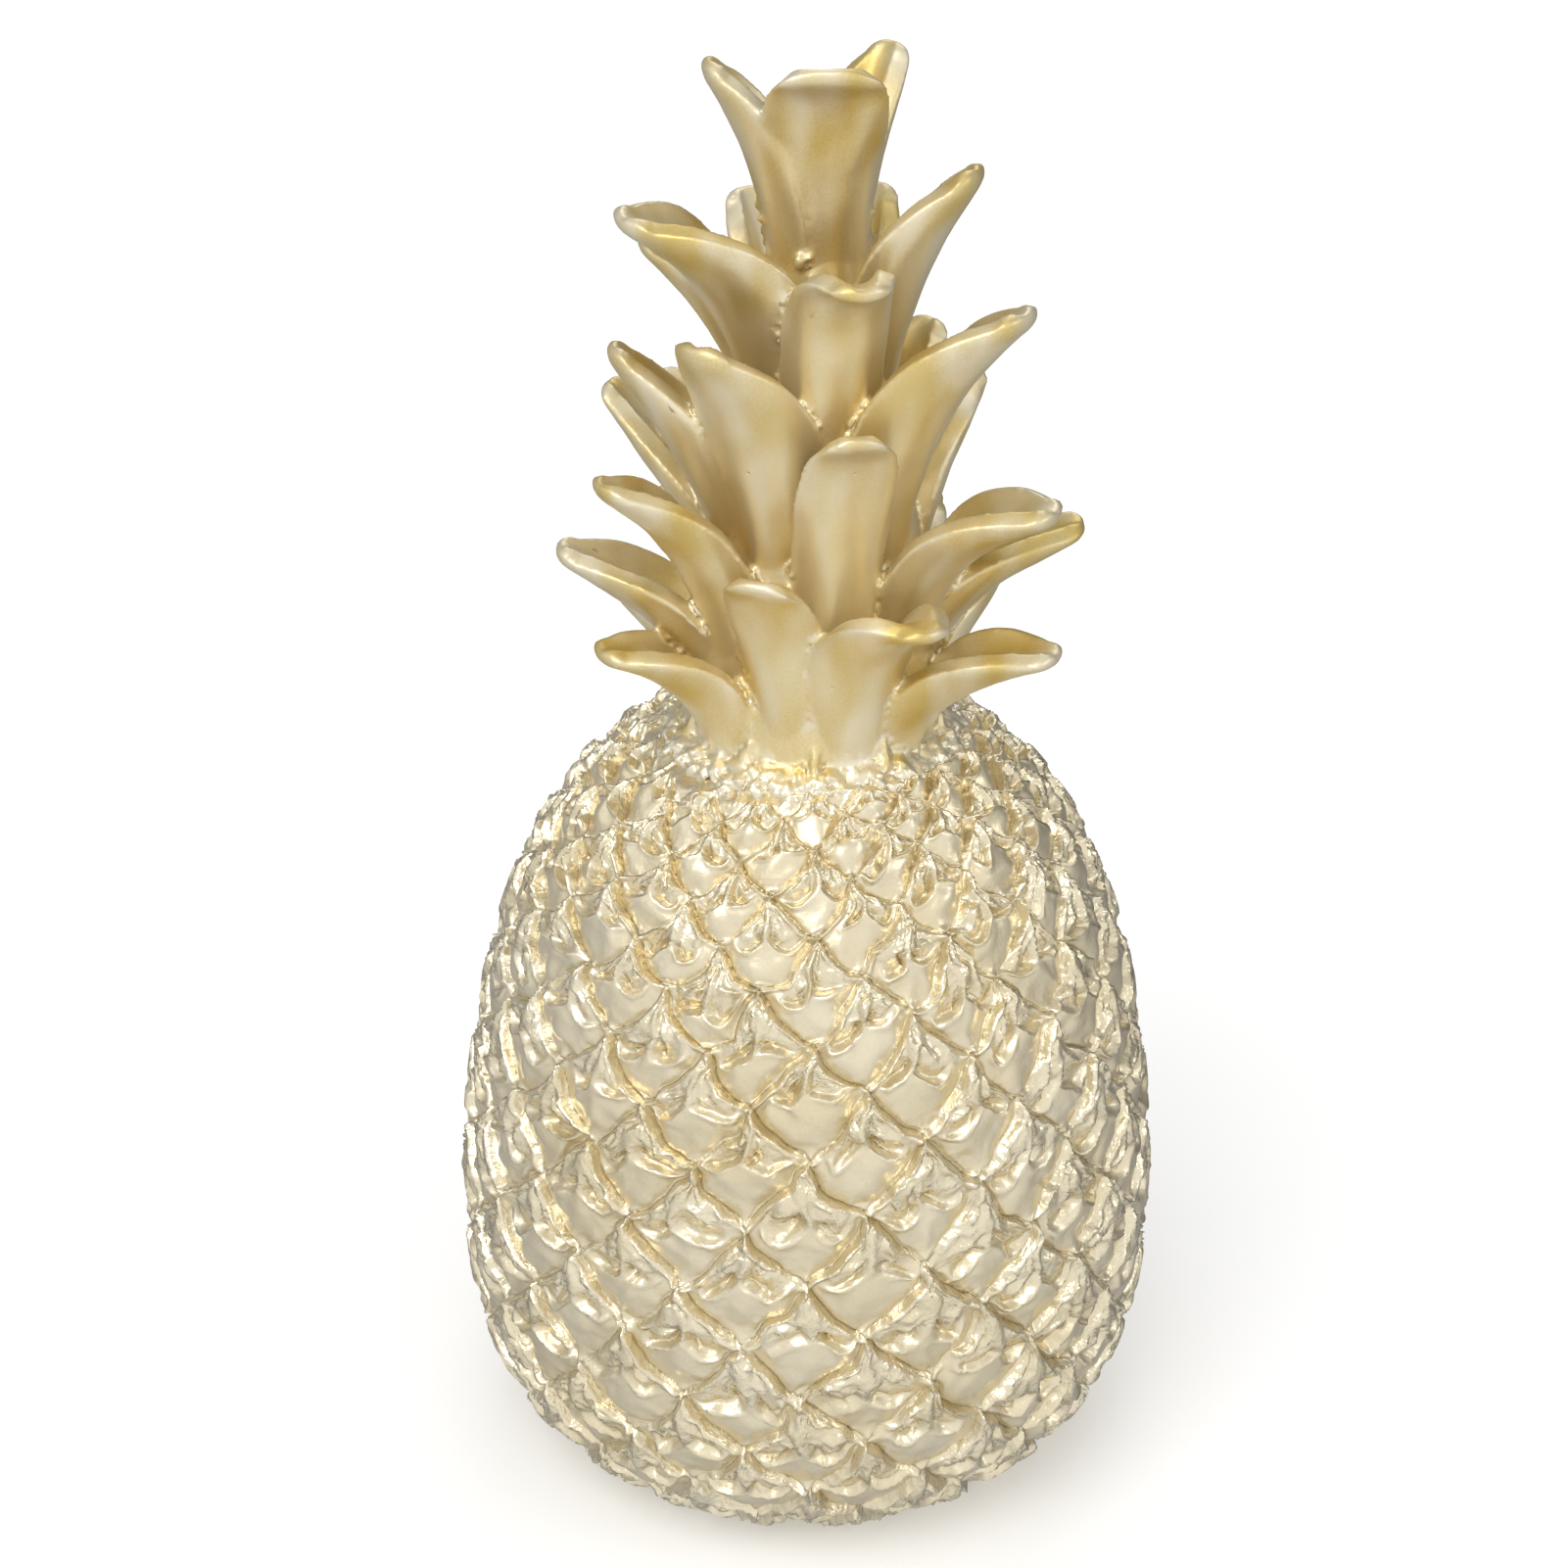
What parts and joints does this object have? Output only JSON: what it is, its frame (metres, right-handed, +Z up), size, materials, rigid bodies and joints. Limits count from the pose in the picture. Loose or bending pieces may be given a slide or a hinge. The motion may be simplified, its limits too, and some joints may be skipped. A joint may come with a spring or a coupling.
{
  "type": "decorative pineapple",
  "caption": "Free-standing cast resin pineapple ornament in champagne-gold paint, with diamond scales on the fruit and a crown of curling channelled leaves.",
  "frame": {"origin": "Middle of the flat underside, on the axis of the fruit.", "axes": "+Z up along the axis of the fruit to the crown; -Y faces the viewer of the picture; +X to the viewer's right."},
  "size_m": [0.1422, 0.1428, 0.2947],
  "materials": {
    "gold_paint": "champagne-gold metallic paint on cast resin, satin on the leaves and glossier on the fruit"
  },
  "bodies": {
    "root": {"pineapple": "gold_paint"}
  },
  "joints": []
}
